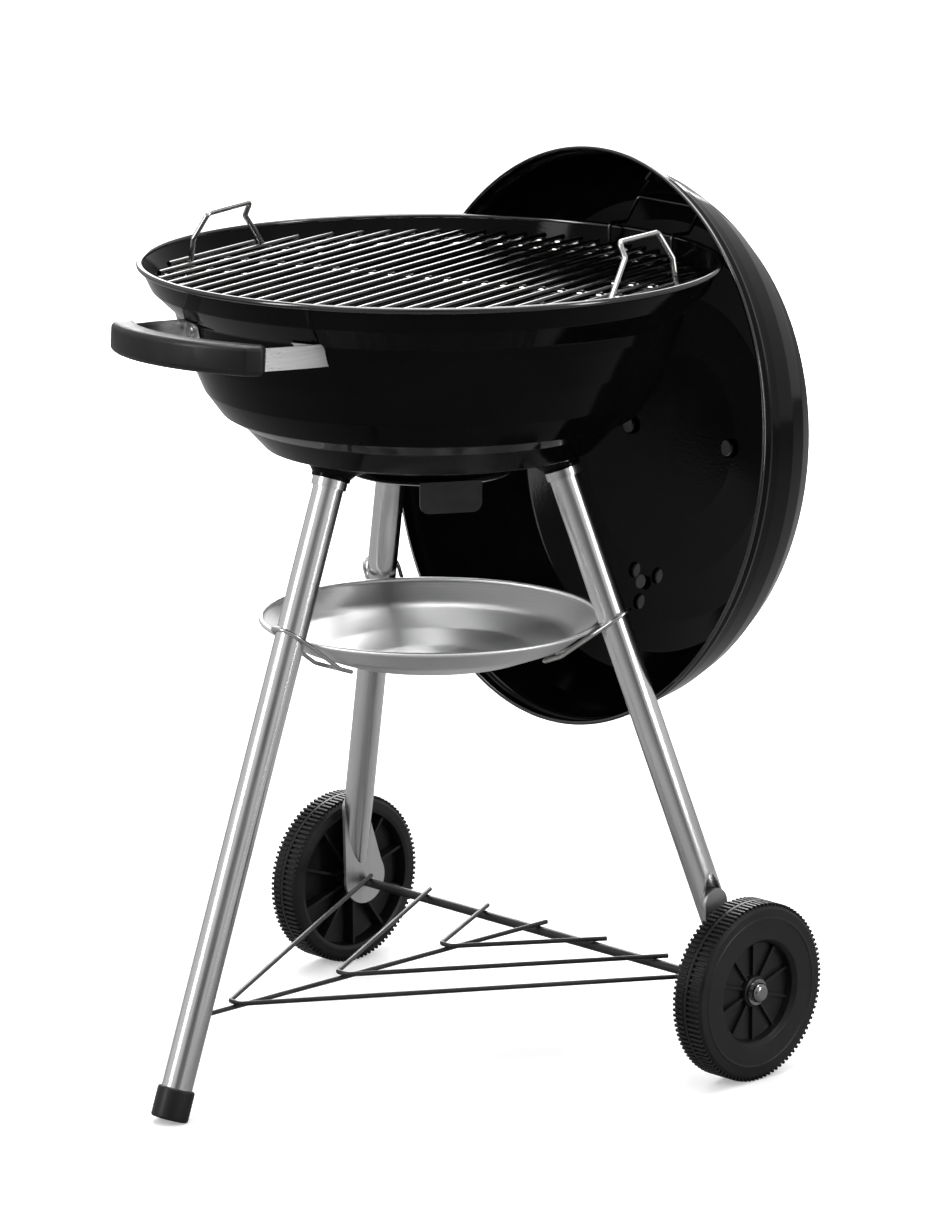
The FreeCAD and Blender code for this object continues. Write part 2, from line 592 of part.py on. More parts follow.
def cooking_grate():
    """Ring with rods over it; under the rods a cross wire, two bent wire handles and an inner ring."""
    high = GRATE_RING_Z + GRATE_RING_WIRE + GRATE_ROD - WELD
    ring = Part.makeTorus(GRATE_RADIUS, GRATE_RING_WIRE, V(0, 0, GRATE_RING_Z))
    rods = rods_in_circle(GRATE_ROD_COUNT, GRATE_ROD_PITCH, GRATE_RADIUS + 2.5, GRATE_ROD, high)
    under = high - 2 * GRATE_ROD + WELD
    reach = GRATE_INNER_RADIUS + GRATE_ROD
    cross = rod(V(-reach, 0, under), V(reach, 0, under), GRATE_ROD)
    inner_ring = Part.makeTorus(GRATE_INNER_RADIUS, GRATE_ROD, V(0, 0, under - 2 * GRATE_ROD + WELD))
    PARTS["cooking_grate_ring"] = grate_frame(ring)
    PARTS["cooking_grate_rods"] = grate_frame(together(rods))
    PARTS["cooking_grate_cross_wire"] = grate_frame(cross)
    PARTS["cooking_grate_inner_ring"] = grate_frame(inner_ring)
    foot = -GRATE_ROD_PITCH * 11 - 2 * GRATE_ROD + WELD
    lean = 15.0
    top = GRATE_HANDLE_TOP
    points = [V(-140, -54.5, under), V(foot, -54.5, under), V(foot + 4, -54.5, 680), V(foot + lean, -49, top),
              V(foot + lean, 16, top + 1), V(foot + 9, 17, 690), V(foot, 64, under), V(-140, 64, under)]
    handle = bent_wire(points, GRATE_ROD, 4.5)
    PARTS["cooking_grate_handle_left"] = grate_frame(handle)
    PARTS["cooking_grate_handle_right"] = grate_frame(turned(handle, 180))


def charcoal_grate():
    """Lower grate: a ring resting on the bowl's curve, rods across it and two cross wires between them."""
    high = COAL_RING_Z + 2 * COAL_WIRE - WELD
    PARTS["charcoal_grate_ring"] = Part.makeTorus(COAL_RADIUS, COAL_WIRE, V(0, 0, COAL_RING_Z))
    rods = rods_in_circle(COAL_ROD_COUNT, COAL_ROD_PITCH, COAL_RADIUS + 3, COAL_WIRE, high)
    PARTS["charcoal_grate_rods"] = turned(together(rods), GRATE_TURN)
    cross = []
    for y in (-COAL_CROSS_Y, COAL_CROSS_Y):
        reach = math.sqrt((COAL_RADIUS - COAL_WIRE) ** 2 - y ** 2) + 0.6
        cross.append(rod(V(-reach, y, COAL_RING_Z), V(reach, y, COAL_RING_Z), COAL_WIRE))
    PARTS["charcoal_grate_cross_wires"] = turned(together(cross), GRATE_TURN)


# ---------------------------------------------------------------- lid, in its own frame
def lid_outside(radius):
    """Height of the dome's outside, in the lid's frame, at a distance from its axis."""
    for (r0, z0), (r1, z1) in zip(LID_OUTLINE, LID_OUTLINE[1:]):
        if r0 <= radius <= r1:
            return -(z0 + (z1 - z0) * (radius - r0) / (r1 - r0))
    return 0.0


def flipped(shape):
    """Turns a dome that opens upwards over, so that it opens towards -Z."""
    copy = shape.copy()
    copy.rotate(V(), V(1, 0, 0), 180)
    return copy


def vent_frame(shape):
    """Copy of a shape drawn flat at the origin, laid on the dome at the lid's vent."""
    radius = math.hypot(*LID_VENT)
    slope = (lid_outside(radius - 10) - lid_outside(radius + 10)) / 20.0
    outward = V(LID_VENT[0] / radius * slope, LID_VENT[1] / radius * slope, 1).normalize()
    return aimed(shape, V(LID_VENT[0], LID_VENT[1], lid_outside(radius)), outward)


def lid_vent_holes(low, high, first):
    return holes(DISC_HOLES, DISC_HOLE_CIRCLE, DISC_HOLE_RADIUS, low, high, first)


def lid():
    """Dome with a stepped flange at its rim, the screw holes of its handle and its vent."""
    shell = flipped(revolved_sheet(LID_OUTLINE, SHEET, LID_BEND))
    bead = Part.makeTorus(LID_RADIUS - LID_BEAD, LID_BEAD, V(0, 0, LID_BEAD))
    shell = shell.fuse(bead)
    screws = [Part.makeCylinder(LID_SCREW + RUNNING, 60, V(side * LID_SCREW_X, 0, 90)) for side in (-1, 1)]
    vents = [vent_frame(cutter) for cutter in lid_vent_holes(-10, 10, DOME_HOLES_FIRST)]
    vents.append(vent_frame(Part.makeCylinder(LID_PIVOT + RUNNING, 20, V(0, 0, -10))))
    PARTS["lid"] = on_lid(shell.cut(together(screws + vents)).removeSplitter())


def lid_vent():
    """Round damper on the dome over three holes, shut, turned by a small tab about a rivet."""
    disc = Part.makeCylinder(DISC_RADIUS, DISC_SHEET, V(0, 0, DISC_GAP))
    end = DISC_RADIUS + 16
    tab = box((DISC_RADIUS - 5, -7.0, DISC_GAP), (end, 7.0, DISC_GAP + DISC_SHEET))
    grip = box((end - 3, -7.0, DISC_GAP), (end, 7.0, DISC_GAP + 11.0))
    disc = fused([disc, tab, grip])
    cutters = lid_vent_holes(0, 5, DOME_HOLES_FIRST + 180 / DISC_HOLES)
    cutters.append(Part.makeCylinder(LID_PIVOT + RUNNING, 5))
    PARTS["lid_damper"] = on_lid(vent_frame(disc.cut(together(cutters))))
    head = Part.makeCylinder(6.0, 2.0, V(0, 0, DISC_GAP + DISC_SHEET + 0.1))
    shank = Part.makeCylinder(LID_PIVOT, DISC_GAP + 5.5, V(0, 0, -4.0))
    tail = Part.makeCylinder(6.0, 2.0, V(0, 0, -5.0))
    PARTS["lid_damper_rivet"] = on_lid(vent_frame(fused([head, shank, tail])))


def lid_handle():
    """Grip on two metal straps over a heat shield, held by two screws from inside the dome."""
    dome = flipped(filled([(r, z - 0.05) for r, z in LID_OUTLINE], 0.0))
    screw_holes = together([Part.makeCylinder(LID_SCREW + RUNNING, 40, V(side * LID_SCREW_X, 0, 105))
                            for side in (-1, 1)])
    straps = []
    for side in (-1, 1):
        foot = box((52, -9, 112), (82, 9, SHIELD_LOW - 0.1))
        post = box((82 - STRAP_THICKNESS, -9, 118), (82, 9, GRIP_LOW + 14))
        strap = fused([foot, post])
        if side < 0:
            strap = strap.mirror(V(), V(1, 0, 0))
        straps.append(strap.cut(dome).cut(screw_holes))
    PARTS["lid_handle_strap_left"] = on_lid(straps[1])
    PARTS["lid_handle_strap_right"] = on_lid(straps[0])

    over = [V(-86, -12.5, GRIP_HIGH - 7), V(0, -12.5, GRIP_HIGH), V(86, -12.5, GRIP_HIGH - 7)]
    under = [V(86, -12.5, GRIP_LOW - 4), V(0, -12.5, GRIP_LOW + 4), V(-86, -12.5, GRIP_LOW - 4)]
    right = V(92, -12.5, GRIP_LOW + 4)
    left = V(-92, -12.5, GRIP_LOW + 4)
    outline = Part.Wire([
        Part.Arc(*over).toShape(),
        Part.makeLine(over[2], right),
        Part.makeLine(right, under[0]),
        Part.Arc(*under).toShape(),
        Part.makeLine(under[2], left),
        Part.makeLine(left, over[0]),
    ])
    grip = Part.Face(outline).extrude(V(0, 25, 0))
    grip = grip.makeFillet(5.0, grip.Edges)
    grip = grip.cut(together(straps))
    PARTS["lid_handle_grip"] = on_lid(max(grip.Solids, key=lambda solid: solid.Volume))

    shield = box((-76, -34, SHIELD_LOW), (76, 34, SHIELD_LOW + SHIELD_SHEET))
    shield = shield.makeFillet(20.0, [edge for edge in shield.Edges if edge.tangentAt(0).z ** 2 > 0.5])
    PARTS["lid_heat_shield"] = on_lid(shield.cut(screw_holes))

    screws = []
    for side in (-1, 1):
        inside = lid_outside(LID_SCREW_X) - SHEET - 0.6
        screw = aimed(cap_screw(8.0, 4.0, LID_SCREW, 17.0), V(side * LID_SCREW_X, 0, inside), -UP)
        nut = Part.makeCylinder(6.0, 4.5, V(side * LID_SCREW_X, 0, SHIELD_LOW + SHIELD_SHEET + 0.1))
        screws.append(fused([screw, nut]))
    PARTS["lid_handle_screws"] = on_lid(together(screws))


def lid_hook():
    """Bent wire inside the dome: its two prongs reach over the bowl's lip and down inside the bowl."""
    over = RIM_TOP + HOOK_WIRE + 0.3
    turn = math.radians(LID_AZIMUTH)
    out = V(math.sin(turn), math.cos(turn), 0)
    side = V(math.cos(turn), -math.sin(turn), 0)
    bow = math.sqrt(RIM_RADIUS ** 2 - HOOK_SPREAD ** 2) - RIM_RADIUS
    prong = [(226.3 + bow, 655.0), (226.3 + bow, over), (244.0 + bow, over), (255.0, 694.0)]
    left = [out * r - side * HOOK_SPREAD + UP * z for r, z in prong]
    right = [out * r + side * HOOK_SPREAD + UP * z for r, z in prong]
    PARTS["lid_hook"] = bent_wire(left + right[::-1], HOOK_WIRE, 3.5)


# ---------------------------------------------------------------- assembly
def build():
    bowl()
    bowl_damper()
    grate_support_tabs()
    bowl_handle()
    leg_sockets()
    legs()
    foot_cap()
    axle_plates()
    axle()
    wheels()
    rack()
    ash_pan()
    pan_clips()
    cooking_grate()
    charcoal_grate()
    lid()
    lid_vent()
    lid_handle()
    lid_hook()


def export():
    """Moves everything so that the origin is the bottom centre of the whole, and writes each piece."""
    boxes = [shape.optimalBoundingBox(False, False) for shape in PARTS.values()]
    middle_y = (min(b.YMin for b in boxes) + max(b.YMax for b in boxes)) / 2
    print("bowl axis at y = %.3f" % -middle_y)
    print("x %.2f..%.2f" % (min(b.XMin for b in boxes), max(b.XMax for b in boxes)))
    print("y %.2f..%.2f" % (min(b.YMin for b in boxes) - middle_y, max(b.YMax for b in boxes) - middle_y))
    print("z %.2f..%.2f" % (min(b.ZMin for b in boxes), max(b.ZMax for b in boxes)))
    os.makedirs("parts", exist_ok=True)
    for name, shape in PARTS.items():
        shape.translate(V(0, -middle_y, 0))
        shape.exportStep("parts/%s.step" % name)
        print(name, "solids", len(shape.Solids), "valid", shape.isValid(), "volume", round(shape.Volume))


build()
export()
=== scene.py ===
import json
import math

import bmesh
import bpy
from mathutils import Matrix, Vector

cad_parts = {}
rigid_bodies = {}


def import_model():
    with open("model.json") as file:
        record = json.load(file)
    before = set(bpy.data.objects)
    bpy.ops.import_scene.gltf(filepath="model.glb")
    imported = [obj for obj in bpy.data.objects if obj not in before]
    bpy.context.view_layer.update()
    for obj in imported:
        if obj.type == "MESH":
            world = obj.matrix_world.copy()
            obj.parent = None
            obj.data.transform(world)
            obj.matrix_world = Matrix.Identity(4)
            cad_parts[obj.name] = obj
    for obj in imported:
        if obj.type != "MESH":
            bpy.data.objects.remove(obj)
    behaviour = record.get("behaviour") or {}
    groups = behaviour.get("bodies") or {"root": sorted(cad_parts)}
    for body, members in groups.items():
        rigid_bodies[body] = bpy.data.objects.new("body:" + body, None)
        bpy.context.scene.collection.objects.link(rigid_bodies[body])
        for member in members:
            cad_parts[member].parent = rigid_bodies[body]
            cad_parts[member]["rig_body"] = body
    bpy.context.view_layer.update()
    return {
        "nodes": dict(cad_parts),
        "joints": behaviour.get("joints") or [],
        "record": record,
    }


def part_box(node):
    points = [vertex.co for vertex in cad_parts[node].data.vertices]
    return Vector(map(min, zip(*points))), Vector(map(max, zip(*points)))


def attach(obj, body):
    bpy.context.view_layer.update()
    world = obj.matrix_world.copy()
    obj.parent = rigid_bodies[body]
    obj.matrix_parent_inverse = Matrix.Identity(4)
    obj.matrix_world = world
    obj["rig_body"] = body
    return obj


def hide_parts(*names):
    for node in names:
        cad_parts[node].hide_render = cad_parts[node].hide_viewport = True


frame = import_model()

# Three-legged kettle charcoal grill, in metres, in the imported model's frame: +Z up, front leg towards -Y.

NODES = frame["nodes"]
JOINTS = {joint["name"]: joint for joint in frame["joints"]}


def middle(node):
    """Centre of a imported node's box."""
    low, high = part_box(node)
    return (low + high) / 2


BOWL_LOW, BOWL_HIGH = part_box("bowl")
BOWL_AXIS = Matrix.Translation(Vector((middle("bowl").x, middle("bowl").y, 0.0)))
RIM_TOP = BOWL_HIGH.z
RIM_RADIUS = (BOWL_HIGH.x - BOWL_LOW.x) / 2
SHEET = 0.0015  # thickness of the bowl's and the lid's steel
UP = Vector((0, 0, 1))
SHARP = 32.0  # degrees; edges that bend more stay sharp


# ------------------------------------------------------------------ mesh helpers
def rounded(points, radius, steps=6):
    """Samples of a 2-D outline with an arc of the given radius at each inner corner."""
    done = [Vector(points[0])]
    for before, here, after in zip(points, points[1:], points[2:]):
        here = Vector(here)
        back = (Vector(before) - here).normalized()
        ahead = (Vector(after) - here).normalized()
        half = math.acos(max(-1.0, min(1.0, back.dot(ahead)))) / 2
        if half > math.pi / 2 - 0.01:
            done.append(here)
            continue
        longest = 0.45 * min((Vector(before) - here).length, (Vector(after) - here).length)
        reach = min(radius / math.tan(half), longest)
        bend = reach * math.tan(half)
        centre = here + (back + ahead).normalized() * (bend / math.sin(half))
        first = here + back * reach - centre
        last = here + ahead * reach - centre
        for i in range(steps + 1):
            mixed = first.lerp(last, i / steps)
            done.append(centre + mixed.normalized() * bend)
    done.append(Vector(points[-1]))
    return done


def offset(line, gap):
    """The line moved to its left by gap, sample by sample."""
    moved = []
    for i, point in enumerate(line):
        run = line[min(i + 1, len(line) - 1)] - line[max(i - 1, 0)]
        moved.append(point + Vector((-run.y, run.x)).normalized() * gap)
    return moved


def ring_section(radius, height, wire, steps=16):
    """Closed circle of a rolled edge, as (radius, height) samples."""
    turns = [2 * math.pi * i / steps for i in range(steps)]
    return [Vector((radius + wire * math.cos(t), height + wire * math.sin(t))) for t in turns]


def lathe(sections, steps=192):
    """Vertices and faces of closed (radius, height) sections turned about Z."""
    verts = []
    faces = []
    for section in sections:
        base = len(verts)
        count = len(section)
        for i in range(steps):
            angle = 2 * math.pi * i / steps
            verts.extend((p.x * math.cos(angle), p.x * math.sin(angle), p.y) for p in section)
        for i in range(steps):
            here = base + i * count
            there = base + ((i + 1) % steps) * count
            for k in range(count):
                n = (k + 1) % count
                faces.append((here + k, there + k, there + n, here + n))
    return verts, faces


def box_mesh(low, high, chamfer):
    """Vertices and faces of a box with its long edges along Z chamfered."""
    c = chamfer
    plan = [(low[0] + c, low[1]), (high[0] - c, low[1]), (high[0], low[1] + c), (high[0], high[1] - c),
            (high[0] - c, high[1]), (low[0] + c, high[1]), (low[0], high[1] - c), (low[0], low[1] + c)]
    verts = [(x, y, z) for z in (low[2], high[2]) for x, y in plan]
    faces = [tuple(range(8))[::-1], tuple(range(8, 16))]
    faces += [(i, (i + 1) % 8, (i + 1) % 8 + 8, i + 8) for i in range(8)]
    return verts, faces


def join(*meshes):
    """One mesh holding all the given ones."""
    verts = []
    faces = []
    for v, f in meshes:
        base = len(verts)
        verts += list(v)
        faces += [tuple(base + i for i in face) for face in f]
    return verts, faces


def placed(mesh, matrix):
    """The mesh with its vertices moved by the matrix."""
    verts, faces = mesh
    return [tuple(matrix @ Vector(v)) for v in verts], faces


def make(name, mesh, place, sharp=SHARP):
    """Object from vertices and faces, put at place and shaded smooth except at sharp edges."""
    verts, faces = placed(mesh, place)
    data = bpy.data.meshes.new(name)
    data.from_pydata(verts, [], faces)
    data.validate()
    obj = bpy.data.objects.new(name, data)
    bpy.context.scene.collection.objects.link(obj)
    weld(obj)
    smooth(obj, sharp)
    return obj


def weld(obj):
    """Joins the doubled points that a lathe leaves on its axis, and points all faces outwards."""
    work = bmesh.new()
    work.from_mesh(obj.data)
    bmesh.ops.remove_doubles(work, verts=work.verts, dist=1e-6)
    bmesh.ops.dissolve_degenerate(work, edges=work.edges, dist=1e-7)
    bmesh.ops.recalc_face_normals(work, faces=work.faces)
    work.to_mesh(obj.data)
    work.free()


def smooth(obj, sharp):
    """Smooth shading, with edges that bend more than sharp degrees left sharp."""
    for polygon in obj.data.polygons:
        polygon.use_smooth = True
    obj.data.set_sharp_from_angle(angle=math.radians(sharp))


def cut(obj, cutters, sharp=SHARP):
    """Takes cutter meshes out of obj, and leaves the result in its mesh."""
    tools = []
    for i, cutter in enumerate(cutters):
        tool = make("cutter_%d" % i, cutter, Matrix.Identity(4))
        modifier = obj.modifiers.new("cut_%d" % i, "BOOLEAN")
        modifier.operation = "DIFFERENCE"
        modifier.solver = "EXACT"
        modifier.object = tool
        tools.append(tool)
    bpy.context.view_layer.update()
    graph = bpy.context.evaluated_depsgraph_get()
    done = bpy.data.meshes.new_from_object(obj.evaluated_get(graph))
    obj.modifiers.clear()
    obj.data = done
    for tool in tools:
        bpy.data.objects.remove(tool)
    smooth(obj, sharp)


def rod_mesh(start, end, radius, steps=32):
    """Closed cylinder from start to end."""
    start = Vector(start)
    end = Vector(end)
    turn = (end - start).to_track_quat("Z", "Y").to_matrix().to_4x4()
    length = (end - start).length
    section = [Vector((0, 0)), Vector((radius, 0)), Vector((radius, length)), Vector((0, length))]
    return placed(lathe([section], steps), Matrix.Translation(start) @ turn)


# ------------------------------------------------------------------ materials
def new_material(name, colour, metallic, roughness, specular=0.5):
    """Empty principled material, with its node tree and its shader."""
    material = bpy.data.materials.new(name)
    material.use_nodes = True
    tree = material.node_tree
    tree.nodes.clear()
    out = tree.nodes.new("ShaderNodeOutputMaterial")
    shader = tree.nodes.new("ShaderNodeBsdfPrincipled")
    tree.links.new(shader.outputs["BSDF"], out.inputs["Surface"])
    shader.inputs["Base Color"].default_value = (*colour, 1.0)
    shader.inputs["Metallic"].default_value = metallic
    shader.inputs["Roughness"].default_value = roughness
    shader.inputs["Specular IOR Level"].default_value = specular
    return material, tree, shader


def coordinates(tree, scale=(1.0, 1.0, 1.0), turn=(0.0, 0.0, 0.0), move=(0.0, 0.0, 0.0)):
    """Object coordinates in metres, scaled, turned and then moved."""
    source = tree.nodes.new("ShaderNodeTexCoord")
    mapping = tree.nodes.new("ShaderNodeMapping")
    mapping.vector_type = "POINT"
    mapping.inputs["Location"].default_value = move
    mapping.inputs["Rotation"].default_value = turn
    mapping.inputs["Scale"].default_value = scale
    tree.links.new(source.outputs["Object"], mapping.inputs["Vector"])
    return mapping.outputs["Vector"]


def noise(tree, vector, scale, detail=3.0, rough=0.55):
    """Value of a noise texture at the given coordinates."""
    node = tree.nodes.new("ShaderNodeTexNoise")
    node.inputs["Scale"].default_value = scale
    node.inputs["Detail"].default_value = detail
    node.inputs["Roughness"].default_value = rough
    tree.links.new(vector, node.inputs["Vector"])
    return node.outputs["Fac"]


def ranged(tree, value, low, high, start=0.3, stop=0.7):
    """Maps a noise value from start..stop to low..high."""
    node = tree.nodes.new("ShaderNodeMapRange")
    node.inputs["From Min"].default_value = start
    node.inputs["From Max"].default_value = stop
    node.inputs["To Min"].default_value = low
    node.inputs["To Max"].default_value = high
    tree.links.new(value, node.inputs["Value"])
    return node.outputs["Result"]


def blended(tree, value, dark, light, start=0.3, stop=0.7):
    """Colour between dark and light by a noise value."""
    node = tree.nodes.new("ShaderNodeValToRGB")
    node.color_ramp.elements[0].position = start
    node.color_ramp.elements[1].position = stop
    node.color_ramp.elements[0].color = (*dark, 1.0)
    node.color_ramp.elements[1].color = (*light, 1.0)
    tree.links.new(value, node.inputs["Fac"])
    return node.outputs["Color"]


def bumped(tree, shader, value, strength, distance, before=None):
    """Bumps the shader's surface by a value, on top of an earlier bump if there is one."""
    node = tree.nodes.new("ShaderNodeBump")
    node.inputs["Strength"].default_value = strength
    node.inputs["Distance"].default_value = distance
    tree.links.new(value, node.inputs["Height"])
    if before is not None:
        tree.links.new(before, node.inputs["Normal"])
    tree.links.new(node.outputs["Normal"], shader.inputs["Normal"])
    return node.outputs["Normal"]


def enamel(name, specular, low=0.05, high=0.13):
    """Black porcelain enamel: glassy, with a faint orange peel and a little dust in the gloss."""
    material, tree, shader = new_material(name, (0.003, 0.003, 0.003), 0.0, low, specular)
    at = coordinates(tree)
    cloud = noise(tree, at, 14.0, 4.0)
    peel = noise(tree, at, 420.0, 2.0)
    speck = noise(tree, at, 2600.0, 1.0)
    tree.links.new(blended(tree, cloud, (0.0020, 0.0020, 0.0022), (0.0042, 0.0042, 0.0045)),
                   shader.inputs["Base Color"])
    tree.links.new(ranged(tree, cloud, low, high), shader.inputs["Roughness"])
    wave = bumped(tree, shader, peel, 0.05, 0.0006)
    bumped(tree, shader, speck, 0.02, 0.0002, wave)
    return material


def brushed(name, colour, direction, low, high, scale=900.0):
    """Metal brushed along a direction: fine streaks in colour, gloss and height."""
    material, tree, shader = new_material(name, colour, 1.0, (low + high) / 2)
    turn = Vector(direction).normalized().rotation_difference(UP).to_euler()
    along = coordinates(tree, turn=tuple(turn))
    stretch = tree.nodes.new("ShaderNodeMapping")
    stretch.inputs["Scale"].default_value = (1.0, 1.0, 0.012)
    tree.links.new(along, stretch.inputs["Vector"])
    streak = noise(tree, stretch.outputs["Vector"], scale, 4.0, 0.6)
    broad = noise(tree, along, 22.0, 3.0)
    darker = tuple(c * 0.86 for c in colour)
    tree.links.new(blended(tree, streak, darker, colour), shader.inputs["Base Color"])
    tree.links.new(ranged(tree, streak, low, high), shader.inputs["Roughness"])
    fine = bumped(tree, shader, streak, 0.05, 0.0002)
    bumped(tree, shader, broad, 0.012, 0.0006, fine)
    return material


def plated(name, colour, low, high, specular=0.5):
    """Bright plated or plain steel: cloudy gloss and a few tiny pits."""
    material, tree, shader = new_material(name, colour, 1.0, low, specular)
    at = coordinates(tree)
    cloud = noise(tree, at, 60.0, 4.0)
    pits = noise(tree, at, 1500.0, 2.0)
    darker = tuple(c * 0.78 for c in colour)
    tree.links.new(blended(tree, cloud, darker, colour), shader.inputs["Base Color"])
    tree.links.new(ranged(tree, cloud, low, high), shader.inputs["Roughness"])
    bumped(tree, shader, pits, 0.05, 0.0002)
    return material


def moulded(name, colour, low, high, grain, strength, specular=0.4):
    """Moulded plastic: fine even grain, slightly uneven gloss."""
    material, tree, shader = new_material(name, colour, 0.0, low, specular)
    at = coordinates(tree)
    cloud = noise(tree, at, 30.0, 3.0)
    fine = noise(tree, at, grain, 2.0)
    lighter = tuple(c * 1.7 for c in colour)
    tree.links.new(blended(tree, cloud, colour, lighter), shader.inputs["Base Color"])
    tree.links.new(ranged(tree, cloud, low, high), shader.inputs["Roughness"])
    bumped(tree, shader, fine, strength, 0.0003)
    return material


def painted(name, colour, low, high):
    """Sprayed paint on wire: satin, with a light texture and slightly rubbed spots."""
    material, tree, shader = new_material(name, colour, 0.0, low, 0.45)
    at = coordinates(tree)
    cloud = noise(tree, at, 45.0, 4.0)
    grit = noise(tree, at, 1800.0, 2.0)
    lighter = tuple(c * 2.2 for c in colour)
    tree.links.new(blended(tree, cloud, colour, lighter, 0.35, 0.8), shader.inputs["Base Color"])
    tree.links.new(ranged(tree, cloud, low, high), shader.inputs["Roughness"])
    bumped(tree, shader, grit, 0.10, 0.0003)
    return material


def spun(name, colour, centre, low, high):
    """Sheet metal spun on a lathe: fine rings about an upright axis."""
    material, tree, shader = new_material(name, colour, 1.0, low)
    at = coordinates(tree, scale=(1.0, 1.0, 0.0), move=(-centre.x, -centre.y, 0.0))
    length = tree.nodes.new("ShaderNodeVectorMath")
    length.operation = "LENGTH"
    tree.links.new(at, length.inputs[0])
    rings = tree.nodes.new("ShaderNodeTexNoise")
    rings.noise_dimensions = "1D"
    rings.inputs["Scale"].default_value = 1400.0
    rings.inputs["Detail"].default_value = 4.0
    tree.links.new(length.outputs["Value"], rings.inputs["W"])
    cloud = noise(tree, coordinates(tree), 9.0, 2.0)
    darker = tuple(c * 0.90 for c in colour)
    tree.links.new(blended(tree, rings.outputs["Fac"], darker, colour), shader.inputs["Base Color"])
    tree.links.new(ranged(tree, cloud, low, high), shader.inputs["Roughness"])
    bumped(tree, shader, rings.outputs["Fac"], 0.04, 0.0002)
    shader.inputs["Anisotropic"].default_value = 0.70
    tangent = tree.nodes.new("ShaderNodeTangent")
    tangent.direction_type = "RADIAL"
    tangent.axis = "Z"
    tree.links.new(tangent.outputs["Tangent"], shader.inputs["Tangent"])
    return material


def leg_direction(node):
    """Unit vector up a leg, from its foot cap or axle plate to the middle of its socket."""
    low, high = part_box(node)
    top = middle("leg_socket_" + node.split("_")[1])
    if node == "leg_front":
        foot = middle("foot_cap")
    else:
        plate = middle("axle_plate_" + node.split("_")[1])
        foot = Vector((plate.x, plate.y, low.z))
    return (top - foot).normalized()


ALUMINIUM = (0.80, 0.80, 0.80)
MATERIALS = {
    "enamel_black": enamel("enamel_black", 0.065),
    "lip_enamel": enamel("lip_enamel", 1.0, 0.10, 0.16),
    "leg_front": brushed("leg_metal_front", ALUMINIUM, leg_direction("leg_front"), 0.16, 0.26),
    "leg_right": brushed("leg_metal_right", ALUMINIUM, leg_direction("leg_right"), 0.16, 0.26),
    "leg_left": brushed("leg_metal_left", ALUMINIUM, leg_direction("leg_left"), 0.16, 0.26),
    "collar": plated("collar_metal", (0.78, 0.78, 0.78), 0.16, 0.28),
    "pan_aluminium": spun("pan_metal", (0.92, 0.92, 0.92), middle("ash_pan"), 0.36, 0.42),
    "plated_wire": plated("plated_wire", (0.66, 0.65, 0.64), 0.14, 0.28),
    # painted shade: grate_rods is a darkened copy of the plated wire (0.12 against 0.66), standing in for
    # the shade on the rods' sides
    "grate_rods": plated("grate_rods", (0.12, 0.12, 0.118), 0.16, 0.26),
    # painted highlight: grate_cross is a brightened copy of the plated wire (0.86 against 0.66), standing
    # in for the highlights on the cross wire and the rings
    "grate_cross": plated("grate_cross", (0.86, 0.86, 0.85), 0.10, 0.18),
    "charcoal_steel": plated("charcoal_steel", (0.30, 0.29, 0.28), 0.40, 0.60),
    "nylon_black": moulded("nylon_black", (0.006, 0.006, 0.0065), 0.34, 0.48, 1400.0, 0.16, 0.32),
    "wheel_plastic": moulded("wheel_plastic", (0.007, 0.007, 0.0075), 0.32, 0.46, 1100.0, 0.12, 0.30),
    "rack_black": painted("rack_black", (0.011, 0.011, 0.012), 0.30, 0.48),
    "strap_metal": brushed("strap_metal", (0.80, 0.80, 0.80), (0, 1, 0), 0.26, 0.34),
    "plate_metal": brushed("plate_metal", (0.60, 0.60, 0.61), (0, 0, 1), 0.34, 0.50),
    "hardware": plated("hardware", (0.76, 0.76, 0.76), 0.14, 0.26),
    "nut_steel": plated("nut_steel", (0.34, 0.34, 0.34), 0.12, 0.22),
    "dark_hardware": plated("dark_hardware", (0.07, 0.07, 0.072), 0.22, 0.38),
}


def paint(obj, material):
    """Gives obj the one material of that name."""
    obj.data.materials.clear()
    obj.data.materials.append(MATERIALS[material])


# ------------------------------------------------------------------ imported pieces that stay
PACKED_SHARP = 30.0  # degrees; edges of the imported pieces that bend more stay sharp
SAME_PLACE = 2e-6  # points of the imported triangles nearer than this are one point
EASED_EDGE = 0.0005  # width of the bevel on folded and stamped pieces


def smoothing_group():
    """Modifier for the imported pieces: welds the triangles and shades them smooth but for real edges."""
    group = bpy.data.node_groups.new("smooth_by_angle", "GeometryNodeTree")
    group.interface.new_socket("Geometry", in_out="INPUT", socket_type="NodeSocketGeometry")
    group.interface.new_socket("Geometry", in_out="OUTPUT", socket_type="NodeSocketGeometry")
    enter = group.nodes.new("NodeGroupInput")
    leave = group.nodes.new("NodeGroupOutput")
    merge = group.nodes.new("GeometryNodeMergeByDistance")
    merge.inputs["Distance"].default_value = SAME_PLACE
    faces = group.nodes.new("GeometryNodeSetShadeSmooth")
    faces.domain = "FACE"
    faces.inputs["Shade Smooth"].default_value = True
    angle = group.nodes.new("GeometryNodeInputMeshEdgeAngle")
    above = group.nodes.new("FunctionNodeCompare")
    above.data_type = "FLOAT"
    above.operation = "GREATER_THAN"
    above.inputs["B"].default_value = math.radians(PACKED_SHARP)
    edges = group.nodes.new("GeometryNodeSetShadeSmooth")
    edges.domain = "EDGE"
    edges.inputs["Shade Smooth"].default_value = False
    link = group.links.new
    link(enter.outputs[0], merge.inputs["Geometry"])
    link(merge.outputs["Geometry"], faces.inputs["Geometry"])
    link(faces.outputs["Geometry"], edges.inputs["Geometry"])
    link(angle.outputs["Unsigned Angle"], above.inputs["A"])
    link(above.outputs["Result"], edges.inputs["Selection"])
    link(edges.outputs["Geometry"], leave.inputs[0])
    return group


